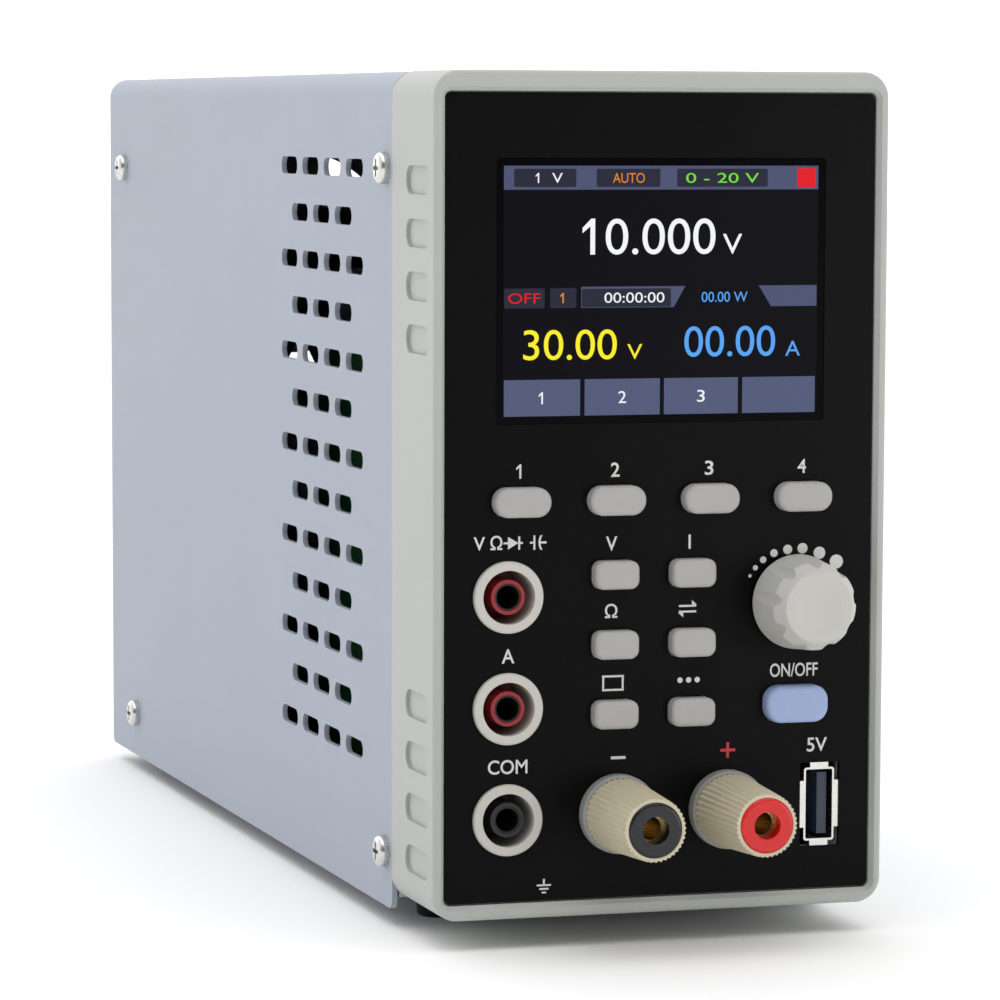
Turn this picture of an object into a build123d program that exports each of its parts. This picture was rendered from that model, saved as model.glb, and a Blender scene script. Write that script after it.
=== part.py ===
from build123d import *
import math
import os

# Compact bench power supply with a built-in meter, in millimetres.
# X is across the front, Y runs from the front to the back, and Z is up.
# The origin is the centre of the whole object's box, at the plane its feet stand on.

# Driving sizes of the case
case_width = 83.0
case_top = 152.5
case_depth = 260.1
cover_sheet = 1.0
cover_bottom = 3.4
cover_bend = 4.0
cover_corner = 2.0
sheet_gap = 0.3
seat_gap = 0.05
running_gap = 0.08

# Bezel at the front, with depths measured back from the face of the overlay
bezel_proud = 0.1
bezel_bottom = 5.4
bezel_corner = 4.5
bezel_rim = 1.2
bezel_depth = 25.5
bezel_edge = 0.95
bezel_front_wall = 1.8
rim_bevel = 0.7
tongue_length = 9.0
tongue_wall = 1.4

# Grip recesses on both sides of the bezel
grip_count = 4
grip_pitch = 9.2
grip_height = 5.0
grip_start = 2.1
grip_end = 16.5
grip_recess = 0.7
grip_top_z = 136.2
grip_low_z = 14.5

# Overlay and display
overlay_side = 2.35
overlay_low_rim = 2.9
overlay_top_rim = 3.8
overlay_sheet = 1.0
overlay_corner = 1.2
overlay_gap = 0.25
screen_width = 57.6
screen_height = 43.2
screen_z = 114.65
pane_width = 60.2
pane_height = 45.8
pane_recess = 0.15
module_width = 69.2
module_height = 50.0
module_depth = 3.5

# Vent slots in both sides of the cover
slot_length = 12.0
slot_height = 3.3
slot_pitch = 15.8
slot_front = 51.4
slot_columns = 4
slot_rows = 13
slot_row_pitch = 8.82
slot_top_z = 135.3

# Screws that hold the cover
screw_radius = 1.5
screw_length = 6.0
screw_clearance = 0.1
head_radius = 2.85
head_height = 1.9
cross_width = 0.7
cross_length = 3.2
cross_depth = 1.1
front_screw = 30.0
rear_top_screw_inset = 15.4
rear_low_screw_inset = 24.8
top_screw_z = 135.5
rear_top_screw_z = 133.1
low_screw_z = 13.4
rear_low_screw_z = 12.9
boss_size = 8.0

# Tray, divider and rear panel
tray_bottom = 5.6
tray_sheet = 1.0
tray_flange = 16.0
rear_sheet = 1.0
rear_inset = 1.5
rear_flange_depth = 20.0
rear_flange_low = 125.2
rear_flange_high = 145.2
divider_x = -20.0
divider_sheet = 1.0
divider_front = 44.0
divider_length = 96.0
divider_height = 108.0

# Feet
foot_radius = 5.3
foot_tip_radius = 4.6
foot_stem_radius = 1.8
foot_clearance = 1.5
foot_rear_inset = 28.0
foot_side = 13.0
foot_edge = 0.5

# Keys, each on its own switch
key_rise = 2.5
key_gap = 0.25
key_travel = 0.8
key_edge = 0.8
key_lip = 1.1
key_lip_depth = 1.2
key_stem_radius = 1.5
menu_key = (10.2, 5.2, 2.5)
menu_key_z = 78.3
menu_key_x = -25.7
menu_key_pitch = 17.3
round_key = (8.1, 5.0, 1.6)
round_key_x = -8.5
round_key_pitch = 14.2
round_key_z = 40.8
round_key_row = 12.25
output_key = (11.5, 6.6, 2.7)
output_key_x = 25.1
output_key_z = 41.6

# Control board behind the keys
board_front = 12.0
board_sheet = 1.6
board_edge = 1.2
board_boss_radius = 2.8
board_boss_side = 3.5
board_boss_inset = 4.6
board_hole_gap = 0.4
switch_side = 6.0
switch_body = 3.5
switch_reach = 0.3
switch_gap = 0.2

# Rotary encoder and its knob
knob_side = 16.3
knob_z = 59.7
knob_base_radius = 8.4
knob_top_radius = 7.7
knob_gap = 0.9
knob_rim_height = 8.6
knob_face_height = 2.5
knob_flutes = 9
knob_flute_radius = 1.6
knob_flute_depth = 0.65
knob_flute_tilt = 9.0
knob_face_radius = 6.2
knob_dish_radius = 4.9
knob_dish = 0.5
knob_edge = 0.4
knob_press = 0.5
shaft_radius = 3.0
shaft_reach = 8.0
shaft_fit = 0.05
bushing_radius = 3.6
encoder_side = 12.0
encoder_depth = 6.4
plunger_length = 1.2
bushing_front = -0.3

# Meter jacks
jack_side = 13.7
jack_z = 22.8
jack_pitch = 19.5
jack_rim_radius = 6.3
jack_rim = 1.0
jack_body_radius = 5.8
jack_well_radius = 4.7
jack_length = 20.0
jack_recess = -0.2
jack_liner = 0.7
jack_tube_radius = 3.05
jack_floor = 12.0
contact_radius = 2.35
contact_bore = 2.05
contact_front = -0.1
contact_length = 22.0
contact_tail = 6.5

# Binding posts
post_x = -7.7
post_pitch = 20.3
post_z = 23.2
post_base_radius = 7.0
post_base_rise = 2.4
post_base_edge = 0.6
post_cap_base_radius = 6.55
post_cap_tip_radius = 5.6
post_cap_front = 20.9
post_rib_count = 40
post_rib_height = 0.3
post_insert_radius = 4.8
post_insert_proud = 0.3
post_stem_radius = 3.2
post_stem_bore = 2.05
post_ring_bore = 2.4
post_bore_depth = 15.0
post_stem_recess = 3.0
post_thread_gap = 0.1
post_travel = 4.0
post_tail_radius = 2.0
post_tail_length = 22.0
post_nut_radius = 5.4
post_tail_nut = 3.0
post_washer_radius = 5.1
washer_sheet = 1.0

# Front socket for five volt output, standing on edge
usb_side = 11.4
usb_z = 23.3
usb_cut_width = 7.4
usb_cut_height = 15.0
usb_width = 5.7
usb_height = 13.1
usb_sheet = 0.35
usb_recess = 0.3
usb_tongue = 1.8
usb_tongue_height = 11.0
usb_tongue_front = 1.4
usb_tongue_offset = 0.7

# Fan behind the rear panel
fan_side = 60.0
fan_depth = 15.0
fan_z = 112.2
fan_bore_radius = 28.5
fan_hole = 25.0
fan_corner = 3.0
fan_hub_radius = 12.5
fan_blade_count = 7
fan_blade_radius = 27.3
fan_blade_sheet = 1.2
fan_blade_chord = 15.0
fan_blade_tilt = 38.0
fan_blade_depth = 8.0
fan_rotor_gap = 0.8
fan_plate = 2.5
fan_spoke = 3.0
fan_shaft_radius = 1.5
fan_shaft_fit = 0.05
grille_inner = 9.0
grille_slot = 3.6
grille_web = 2.4
grille_rings = 3
grille_spoke = 3.0

# Mains inlet with its fuse drawer
inlet_x = -19.0
inlet_z = 43.2
inlet_flange_width = 30.0
inlet_flange_height = 38.0
inlet_flange = 2.6
inlet_body_width = 27.0
inlet_body_height = 34.0
inlet_body_depth = 24.0
inlet_well_width = 24.0
inlet_well_height = 16.4
inlet_well_depth = 17.0
inlet_well_rise = 6.5
inlet_well_chamfer = 4.0
pin_width = 2.0
pin_height = 4.0
pin_length = 15.0
pin_tail = 6.0
pin_spacing = 7.0
pin_rise = 2.0
drawer_width = 24.0
drawer_height = 9.0
drawer_depth = 20.0
drawer_drop = 10.5
drawer_gap = 0.2
drawer_grip = 1.4
drawer_travel = 18.0

# Mains switch
switch_x = 22.0
switch_z = 55.2
switch_cut_width = 13.0
switch_cut_height = 19.0
switch_flange_width = 15.4
switch_flange_height = 21.4
switch_flange = 1.6
switch_housing_depth = 15.0
rocker_width = 9.6
rocker_radius = 8.0
rocker_gap = 0.3
rocker_pivot = 1.2
rocker_pivot_radius = 1.2
rocker_pivot_length = 0.9
rocker_rest_angle = 9.0
rocker_vee = 12.0
rocker_crown = 2.4

# Mains voltage selector
selector_x = 22.0
selector_z = 30.2
selector_width = 20.0
selector_height = 11.0
selector_flange = 1.0
selector_body_width = 16.0
selector_body_height = 8.0
selector_body_depth = 8.0
selector_slot_width = 10.5
selector_slot_height = 4.6
selector_slot_depth = 4.0
slider_width = 5.0
slider_gap = 0.2
slider_recess = 0.4
slider_travel = 5.1

# Boards and power parts inside
standoff_radius = 2.8
standoff_height = 7.0
standoff_pin = 1.4
power_board_left = -17.0
power_board_right = 37.0
power_board_front = 62.0
power_board_rear = 228.0
meter_board_front = 48.0
meter_board_rear = 124.0
meter_board_low = 17.2
meter_board_high = 101.2
sink_sheet = 3.0
sink_height = 62.0
sink_length = 70.0
sink_fins = 5
sink_fin = 1.2
sink_fin_reach = 9.0
sink_x = 31.0
sink_front = 76.0
sink_gap = 2.0
core_width = 34.0
core_depth = 36.0
core_height = 32.0
core_window = 7.0
core_leg = 10.0
core_thick = 18.0
core_yoke = 5.5
core_x = 1.0
core_y = 150.0
coil_gap = 0.2
cap_radius = 11.0
cap_height = 35.0
cap_x = 5.0
cap_front = 194.0
cap_pitch = 22.6
cap_edge = 0.8

# Places worked out from the sizes above
rear_reach = inlet_flange + drawer_grip
front_reach = post_cap_front + post_insert_proud
rear_face = case_depth - rear_inset
rear_top_screw = case_depth - rear_top_screw_inset
rear_low_screw = case_depth - rear_low_screw_inset
foot_front = bezel_depth + tongue_length + foot_stem_radius + foot_clearance
total_depth = front_reach + rear_face + rear_reach
face_y = front_reach - total_depth / 2
bezel_width = case_width + 2 * bezel_proud
bezel_top = case_top + bezel_proud
bezel_height = bezel_top - bezel_bottom
overlay_width = bezel_width - 2 * overlay_side
overlay_height = bezel_height - overlay_low_rim - overlay_top_rim
knob_x = bezel_width / 2 - knob_side
jack_x = jack_side - bezel_width / 2
usb_x = bezel_width / 2 - usb_side
foot_x = case_width / 2 - foot_side
bezel_z = (bezel_top + bezel_bottom) / 2
overlay_z = bezel_bottom + overlay_low_rim + overlay_height / 2
wall_back = overlay_sheet + bezel_front_wall
cover_inner = case_width / 2 - cover_sheet
tray_half = cover_inner - sheet_gap
tray_top = tray_bottom + tray_sheet
tongue_half = tray_half - tray_sheet - sheet_gap
tongue_top = case_top - cover_sheet - 2 * sheet_gap
tongue_bottom = tray_top + sheet_gap
inner_half = tongue_half - tongue_wall
inner_top = tongue_top - tongue_wall
inner_bottom = bezel_bottom + bezel_width / 2 - inner_half
board_boss_x = inner_half - board_boss_side
board_boss_low = inner_bottom + board_boss_inset
board_boss_high = inner_top - board_boss_inset
rear_inside = rear_face - rear_sheet
tray_front = bezel_depth + seat_gap
tray_rear = rear_inside - seat_gap
head_under = case_width / 2
key_back = wall_back + seat_gap + key_lip_depth
switch_face = board_front - switch_body
plunger_front = board_front - encoder_depth + 1.5
encoder_floor = plunger_front + plunger_length + knob_press + seat_gap
post_stem_front = post_cap_front - post_stem_recess
post_insert_back = post_stem_front + 0.1
stem_back = wall_back + 2 * seat_gap + post_tail_nut
inlet_floor = rear_face + inlet_flange - inlet_well_depth
drawer_z = inlet_z - drawer_drop
rocker_axis = rear_face + switch_flange - rocker_pivot
post_positions = [post_x, post_x + post_pitch]
jack_positions = [jack_z + jack_pitch * i for i in range(3)]
power_board_z = tray_top + standoff_height
meter_board_x = divider_x - divider_sheet / 2 - standoff_height


def at(depth):
    """Y of a place that lies this far behind the face of the overlay."""
    return face_y + depth


def block(x0, x1, y0, y1, z0, z1):
    """Box between two corners."""
    middle = Pos((x0 + x1) / 2, (y0 + y1) / 2, (z0 + z1) / 2)
    return middle * Box(abs(x1 - x0), abs(y1 - y0), abs(z1 - z0))


def rod(radius, x, z, d0, d1):
    """Round bar along Y, from depth d0 to depth d1."""
    return Pos(x, at((d0 + d1) / 2), z) * Rot(90, 0, 0) * Cylinder(radius, abs(d1 - d0))


def cone(radius0, radius1, x, z, d0, d1):
    """Tapered bar along Y, with radius0 at depth d0 and radius1 at the greater depth d1."""
    return Pos(x, at((d0 + d1) / 2), z) * Rot(-90, 0, 0) * Cone(radius0, radius1, d1 - d0)


def slab(sketch, d0, d1):
    """Sketch in X and Z made solid from depth d0 to the greater depth d1."""
    return extrude(Plane.XZ.offset(-at(d1)) * sketch, amount=d1 - d0)


def plate(width, height, corner, x, z, d0, d1):
    """Plate with rounded corners, seen from the front."""
    return slab(Pos(x, z) * RectangleRounded(width, height, corner), d0, d1)


def save(shape, name):
    """Writes one node."""
    export_step(shape, os.path.join("parts", name + ".step"))


def group(solids):
    """Several separate solids in one node."""
    return Compound(children=[piece for solid in solids for piece in solid.solids()])


def pan_screw(radius, length, rim, height):
    """Pan head screw with a cross recess. Its head is above Z 0 and its thread below."""
    head = fillet(Cylinder(rim, height, align=(Align.CENTER, Align.CENTER, Align.MIN)).edges().group_by(Axis.Z)[-1],
                  height * 0.55)
    thread = Cylinder(radius, length, align=(Align.CENTER, Align.CENTER, Align.MAX))
    slot = Box(cross_length, cross_width, cross_depth * 2)
    cross = Pos(0, 0, height) * (slot + Rot(0, 0, 90) * slot)
    return head + thread - cross


def taper(size0, size1, x, z, d0, d1):
    """Solid between a rounded rectangle at depth d0 and another at depth d1."""
    faces = []
    for (width, height, corner), depth in ((size0, d0), (size1, d1)):
        faces.append(Plane.XZ.offset(-at(depth)) * Pos(x, z) * RectangleRounded(width, height, corner))
    return loft(Sketch() + faces)


def key_places():
    """Name, X, Z and size of each key."""
    places = []
    for i in range(4):
        places.append(("menu_key_%d" % (i + 1), menu_key_x + menu_key_pitch * i, menu_key_z, menu_key))
    names = [["display_key", "mode_key"], ["ohms_key", "limits_key"], ["volts_key", "amps_key"]]
    for row in range(3):
        for column in range(2):
            x = round_key_x + round_key_pitch * column
            z = round_key_z + round_key_row * row
            places.append((names[row][column], x, z, round_key))
    places.append(("output_key", output_key_x, output_key_z, output_key))
    return places


def front_holes(d0, d1):
    """Holes for keys, jacks, posts, knob and socket through the overlay and the front wall."""
    cuts = []
    for name, x, z, (width, height, corner) in key_places():
        cuts.append(plate(width + 2 * key_gap, height + 2 * key_gap, corner + key_gap, x, z, d0, d1))
    for z in jack_positions:
        cuts.append(rod(jack_body_radius + seat_gap, jack_x, z, d0, d1))
    for x in post_positions:
        cuts.append(rod(post_stem_radius + seat_gap, x, post_z, d0, d1))
    cuts.append(rod(bushing_radius + seat_gap, knob_x, knob_z, d0, d1))
    cuts.append(plate(usb_cut_width, usb_cut_height, 0.4, usb_x, usb_z, d0, d1))
    cuts.append(plate(pane_width + 2 * seat_gap, pane_height + 2 * seat_gap, 0.6, 0, screen_z, d0, d1))
    return cuts


def front_bezel():
    """Moulded front frame with its wall, its grips and the tongue that goes under the cover."""
    shape = plate(bezel_width, bezel_height, bezel_corner, 0, bezel_z, -bezel_rim, bezel_depth)
    shape = fillet(shape.faces().sort_by(Axis.Y)[0].edges(), bezel_edge)
    tongue_z = (tongue_top + tongue_bottom) / 2
    shape += plate(2 * tongue_half, tongue_top - tongue_bottom, 2.0, 0, tongue_z,
                   bezel_depth - tongue_length, bezel_depth + tongue_length)
    hollow_z = (inner_top + inner_bottom) / 2
    shape -= plate(2 * inner_half, inner_top - inner_bottom, 2.0, 0, hollow_z,
                   wall_back, bezel_depth + tongue_length + 1)
    mouth = (overlay_width + 2 * (overlay_gap + rim_bevel), overlay_height + 2 * (overlay_gap + rim_bevel),
             overlay_corner + rim_bevel)
    pocket = (overlay_width + 2 * overlay_gap, overlay_height + 2 * overlay_gap, overlay_corner)
    shape -= taper(mouth, pocket, 0, overlay_z, -bezel_rim, -bezel_rim + rim_bevel * 1.3)
    shape -= plate(*pocket, 0, overlay_z, -bezel_rim, overlay_sheet)
    for cut in front_holes(0, wall_back + 1):
        shape -= cut
    for side in (-1, 1):
        for start in (grip_low_z, grip_top_z - grip_pitch * (grip_count - 1) - grip_height / 2):
            for i in range(grip_count):
                z = start + grip_pitch * i
                cut = Pos(side * bezel_width / 2, at((grip_start + grip_end) / 2), z)
                cut *= Rot(0, 90, 0) * Rot(0, 0, 90)
                shape -= cut * extrude(SlotOverall(grip_end - grip_start, grip_height), grip_recess, both=True)
    for x, z in board_boss_places():
        shape += rod(board_boss_radius, x, z, wall_back, board_front)
        shape -= rod(screw_radius + screw_clearance, x, z, board_front - screw_length + 1, board_front)
    for side in (-1, 1):
        for z, reach in ((top_screw_z, cover_inner - seat_gap), (low_screw_z, tongue_half)):
            d0 = front_screw - boss_size / 2
            d1 = bezel_depth + tongue_length
            inner = inner_half - 3.5
            shape += block(side * inner, side * reach, at(d0), at(d1), z - boss_size / 2, z + boss_size / 2)
            hole = Pos(side * (head_under - screw_length / 2), at(front_screw), z) * Rot(0, 90, 0)
            shape -= hole * Cylinder(screw_radius + screw_clearance, screw_length + 1)
    return shape


def board_boss_places():
    return [(x, z) for x in (-board_boss_x, board_boss_x) for z in (board_boss_low, board_boss_high)]


def front_overlay():
    """Printed front sheet."""
    shape = plate(overlay_width, overlay_height, overlay_corner, 0, overlay_z, 0, overlay_sheet)
    for cut in front_holes(-1, overlay_sheet + 1):
        shape -= cut
    return shape


def display_glass():
    return plate(pane_width, pane_height, 0.5, 0, screen_z, pane_recess, overlay_sheet)


def display_module():
    """Colour display with its raised picture area inside the window of the wall."""
    back = wall_back + seat_gap
    shape = plate(module_width, module_height, 1.0, 0, screen_z, back, back + module_depth)
    return shape + plate(pane_width - 0.6, pane_height - 0.6, 0.5, 0, screen_z, overlay_sheet + seat_gap, back)


def control_board():
    """Board behind the keys, with room for the jacks and the posts."""
    width = 2 * (inner_half - board_edge)
    low = inner_bottom + board_edge - 0.5
    high = inner_top - board_edge
    back = board_front + board_sheet
    shape = plate(width, high - low, 1.0, 0, (high + low) / 2, board_front, back)
    for x, z in board_boss_places():
        shape -= rod(screw_radius + screw_clearance, x, z, board_front, back)
    for z in jack_positions:
        shape -= rod(jack_body_radius + board_hole_gap, jack_x, z, board_front, back)
    for x in post_positions:
        shape -= rod(post_tail_radius + board_hole_gap, x, post_z, board_front, back)
    return shape


def moulded_key(x, z, size):
    """Key cap with a lip behind the wall and a stem that reaches into its switch."""
    width, height, corner = size
    front = wall_back + seat_gap
    cap = plate(width, height, corner, x, z, -key_rise, front)
    cap = fillet(cap.faces().sort_by(Axis.Y)[0].edges(), key_edge)
    cap += plate(width + 2 * key_lip, height + 2 * key_lip, corner + key_lip / 2, x, z, front, key_back)
    return cap + rod(key_stem_radius, x, z, key_back, switch_face + switch_reach)


def key_switches():
    """One small switch for each key."""
    switches = []
    for name, x, z, size in key_places():
        body = block(x - switch_side / 2, x + switch_side / 2, at(switch_face), at(board_front),
                     z - switch_side / 2, z + switch_side / 2)
        bore = switch_reach + key_travel + switch_gap
        switches.append(body - rod(key_stem_radius + running_gap, x, z, switch_face, switch_face + bore))
    return group(switches)


def encoder_body():
    """Rotary encoder with its bushing through the front."""
    front = board_front - encoder_depth
    half = encoder_side / 2
    shape = block(knob_x - half, knob_x + half, at(front), at(board_front), knob_z - half, knob_z + half)
    shape += rod(bushing_radius, knob_x, knob_z, bushing_front, front)
    return shape - rod(shaft_radius + shaft_fit, knob_x, knob_z, bushing_front, encoder_floor)


def encoder_plunger():
    """Disc behind the shaft that goes in when the knob is pressed."""
    return rod(shaft_radius, knob_x, knob_z, plunger_front, plunger_front + plunger_length)


def encoder_shaft():
    return rod(shaft_radius, knob_x, knob_z, -knob_gap - shaft_reach, plunger_front)


def tuning_knob():
    """Fluted knob with a bevelled rim and a dished face."""
    back = -knob_gap
    rim = back - knob_rim_height
    front = rim - knob_face_height
    shape = cone(knob_top_radius, knob_base_radius, knob_x, knob_z, rim, back)
    shape += cone(knob_face_radius, knob_top_radius, knob_x, knob_z, front, rim)
    reach = knob_top_radius + knob_flute_radius - knob_flute_depth
    for i in range(knob_flutes):
        flute = Pos(0, 0, reach) * Rot(knob_flute_tilt, 0, 0) * Rot(90, 0, 0)
        turn = Rot(0, 360 * i / knob_flutes, 0)
        shape -= Pos(knob_x, at(rim), knob_z) * turn * flute * Cylinder(knob_flute_radius, 2.5 * knob_rim_height)
    shape = fillet(shape.faces().sort_by(Axis.Y)[0].edges(), knob_edge)
    ball = (knob_dish_radius ** 2 + knob_dish ** 2) / (2 * knob_dish)
    shape -= Pos(knob_x, at(front + knob_dish - ball), knob_z) * Sphere(ball)
    return shape - rod(shaft_radius + seat_gap / 2, knob_x, knob_z, -knob_gap - shaft_reach, back)


def jack_shell(z):
    """Outer ring of a meter jack with a deep well."""
    rim = fillet(rod(jack_rim_radius, jack_x, z, -jack_rim, 0).faces().sort_by(Axis.Y)[0].edges(), 0.4)
    shape = rim + rod(jack_body_radius, jack_x, z, 0, jack_length)
    shape -= rod(jack_well_radius, jack_x, z, -jack_rim, jack_floor)
    return shape - rod(jack_tube_radius + seat_gap, jack_x, z, jack_floor, jack_length)


def jack_sleeve(z):
    """Coloured sleeve in the middle of a meter jack."""
    tube = rod(jack_tube_radius, jack_x, z, jack_recess, jack_length)
    disc = rod(jack_well_radius - seat_gap, jack_x, z, jack_floor - 2 * jack_liner, jack_floor)
    return tube + disc - rod(contact_radius + seat_gap, jack_x, z, jack_recess, jack_length)


def jack_contact(z):
    """Metal tube of a meter jack with its solder tail."""
    back = contact_front + contact_length
    shape = rod(contact_radius, jack_x, z, contact_front, back)
    shape -= rod(contact_bore, jack_x, z, contact_front, back - 1)
    return shape + rod(contact_radius * 0.5, jack_x, z, back, back + contact_tail)


def post_base(x):
    """Round collar under a binding post."""
    shape = rod(post_base_radius, x, post_z, -post_base_rise, 0)
    shape = fillet(shape.faces().sort_by(Axis.Y)[0].edges(), post_base_edge)
    return shape - rod(post_stem_radius + seat_gap, x, post_z, -post_base_rise, 0)


def post_stem(x):
    """Fixed stud of a post with a bore for a plug."""
    shape = rod(post_stem_radius, x, post_z, -post_stem_front, stem_back)
    shape -= rod(post_stem_bore, x, post_z, -post_stem_front, post_bore_depth - post_stem_front)
    return shape + rod(post_tail_radius, x, post_z, stem_back, post_tail_length)


def post_washer(x):
    """Clamp washer that stays in the back of the post's nut."""
    shape = rod(post_washer_radius, x, post_z, -post_base_rise - seat_gap - washer_sheet, -post_base_rise - seat_gap)
    return shape - rod(post_stem_radius + running_gap, x, post_z, -post_base_rise - 2 * washer_sheet, -post_base_rise)


def ribbed_face(radius, x, depth):
    """Ribbed outline of a post's nut."""
    points = []
    for i in range(2 * post_rib_count):
        angle = math.pi * (i + 0.5) / post_rib_count
        reach = radius - post_rib_height * (i % 2)
        points.append((reach * math.cos(angle), reach * math.sin(angle)))
    return Plane.XZ.offset(-at(depth)) * Pos(x, post_z) * Polygon(*points, align=None)


def post_nut(x):
    """Ribbed hand nut of a post."""
    back = -post_base_rise - seat_gap
    front = -post_cap_front
    faces = [ribbed_face(post_cap_tip_radius, x, front), ribbed_face(post_cap_base_radius, x, back)]
    shape = loft(Sketch() + faces)
    shape -= rod(post_washer_radius + running_gap, x, post_z, back - washer_sheet - seat_gap, back)
    shape -= rod(post_stem_radius + post_thread_gap, x, post_z, front, back)
    return shape - rod(post_insert_radius + seat_gap, x, post_z, front, -post_insert_back)


def post_insert(x):
    """Coloured ring in the face of a post's nut."""
    shape = rod(post_insert_radius, x, post_z, -front_reach, -post_insert_back)
    shape = fillet(shape.faces().sort_by(Axis.Y)[0].edges(), 0.5)
    return shape - rod(post_ring_bore, x, post_z, -front_reach, -post_insert_back)


def post_tail_nuts():
    """Nuts that hold the posts from behind the wall."""
    nuts = []
    for x in post_positions:
        outline = Pos(x, post_z) * RegularPolygon(post_nut_radius, 6)
        nut = slab(outline, wall_back + seat_gap, wall_back + seat_gap + post_tail_nut)
        nuts.append(nut - rod(post_stem_radius + seat_gap, x, post_z, wall_back, wall_back + 2 * post_tail_nut))
    return group(nuts)


def usb_shell():
    """Folded sheet shell of the socket, standing on edge."""
    outer = plate(usb_width, usb_height, 0.5, usb_x, usb_z, usb_recess, board_front)
    inside = plate(usb_width - 2 * usb_sheet, usb_height - 2 * usb_sheet, 0.3, usb_x, usb_z,
                   usb_recess, board_front - usb_sheet)
    shape = outer - inside
    for side in (-1, 1):
        reach = (usb_cut_width / 2 - seat_gap) - usb_width / 2
        x0 = usb_x + side * usb_width / 2
        shape += block(x0, x0 + side * reach, at(usb_recess), at(usb_recess + usb_sheet),
                       usb_z - usb_height * 0.32, usb_z + usb_height * 0.32)
        z0 = usb_z + side * usb_height / 2
        rise = (usb_cut_height - usb_height) / 2 - seat_gap
        shape += block(usb_x - usb_width * 0.3, usb_x + usb_width * 0.3, at(usb_recess),
                       at(usb_recess + usb_sheet), z0, z0 + side * rise)
    return shape


def usb_tongue_part():
    """Plastic tongue of the socket with its foot at the back of the shell."""
    x0 = usb_x + usb_width / 2 - usb_sheet - usb_tongue_offset - usb_tongue
    back = board_front - usb_sheet - seat_gap
    half = usb_tongue_height / 2
    shape = block(x0, x0 + usb_tongue, at(usb_tongue_front), at(back), usb_z - half, usb_z + half)
    wide = usb_width / 2 - usb_sheet - seat_gap
    tall = usb_height / 2 - usb_sheet - seat_gap
    return shape + plate(2 * wide, 2 * tall, 0.4, usb_x, usb_z, back - 2, back)


def chassis_tray():
    """Bent tray with two side flanges and an upright tab for the meter board."""
    shape = block(-tray_half, tray_half, at(tray_front), at(tray_rear), tray_bottom, tray_top)
    for side in (-1, 1):
        shape += block(side * (tray_half - tray_sheet), side * tray_half, at(tray_front), at(tray_rear),
                       tray_bottom, tray_bottom + tray_flange)
        for depth, z in ((front_screw, low_screw_z), (rear_low_screw, rear_low_screw_z)):
            hole = Pos(side * tray_half, at(depth), z) * Rot(0, 90, 0)
            shape -= hole * Cylinder(screw_radius + screw_clearance, 4 * tray_sheet)
    half = divider_sheet / 2
    shape += block(divider_x - half, divider_x + half, at(divider_front), at(divider_front + divider_length),
                   tray_bottom, tray_top + divider_height)
    for x, depth in foot_places():
        shape -= Pos(x, at(depth), tray_bottom) * Cylinder(foot_stem_radius + seat_gap, 4 * tray_sheet)
    for x, depth in power_standoff_places():
        shape -= Pos(x, at(depth), tray_bottom) * Cylinder(standoff_pin + seat_gap, 4 * tray_sheet)
    for depth, z in meter_standoff_places():
        hole = Pos(divider_x, at(depth), z) * Rot(0, 90, 0)
        shape -= hole * Cylinder(standoff_pin + seat_gap, 4 * divider_sheet)
    return shape


def foot_places():
    return [(x, depth) for x in (-foot_x, foot_x) for depth in (foot_front, case_depth - foot_rear_inset)]


def power_standoff_places():
    inset = 6.0
    return [(x, depth) for x in (power_board_left + inset, power_board_right - inset)
            for depth in (power_board_front + inset, power_board_rear - inset)]


def meter_standoff_places():
    inset = 6.0
    return [(depth, z) for depth in (meter_board_front + inset, meter_board_rear - inset)
            for z in (meter_board_low + inset, meter_board_high - inset)]


def top_cover():
    """Bent cover with vent slots in both sides."""
    half = case_width / 2
    height = case_top - cover_bottom
    middle = (case_top + cover_bottom) / 2
    front = bezel_depth + seat_gap
    outer = block(-half, half, at(front), at(case_depth), cover_bottom, case_top)
    outer = fillet([edge for edge in outer.edges().filter_by(Axis.Y) if edge.center().Z > middle], cover_bend)
    inner = block(-cover_inner, cover_inner, at(front), at(case_depth), cover_bottom, case_top - cover_sheet)
    bend = cover_bend - cover_sheet
    inner = fillet([edge for edge in inner.edges().filter_by(Axis.Y) if edge.center().Z > middle], bend)
    shape = outer - inner
    corners = [edge for edge in shape.edges().filter_by(Axis.X) if edge.center().Z < cover_bottom + 1]
    shape = fillet(corners, cover_corner)
    holes = []
    for row in range(slot_rows):
        z = slot_top_z - slot_row_pitch * row
        count = slot_columns - row % 2
        for column in range(count):
            depth = slot_front + slot_pitch * (column + 0.5 * (row % 2))
            turn = Pos(0, at(depth), z) * Rot(0, 90, 0) * Rot(0, 0, 90)
            holes.append(turn * SlotOverall(slot_length, slot_height))
    for side in (-1, 1):
        sketch = Sketch() + [Pos(side * (half + 1), 0, 0) * hole for hole in holes]
        shape -= extrude(sketch, 3 * cover_sheet, dir=(-side, 0, 0))
    for side, depth, z in cover_screw_places():
        hole = Pos(side * half, at(depth), z) * Rot(0, 90, 0)
        shape -= hole * Cylinder(screw_radius + screw_clearance, 4 * cover_sheet)
    return shape


def cover_screw_places():
    places = []
    for side in (-1, 1):
        places.append((side, front_screw, top_screw_z))
        places.append((side, front_screw, low_screw_z))
        places.append((side, rear_top_screw, rear_top_screw_z))
        places.append((side, rear_low_screw, rear_low_screw_z))
    return places


def cover_screws():
    screws = []
    for side, depth, z in cover_screw_places():
        place = Pos(side * head_under, at(depth), z) * Rot(0, 90 * side, 0)
        screws.append(place * pan_screw(screw_radius, screw_length, head_radius, head_height))
    return group(screws)


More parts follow.
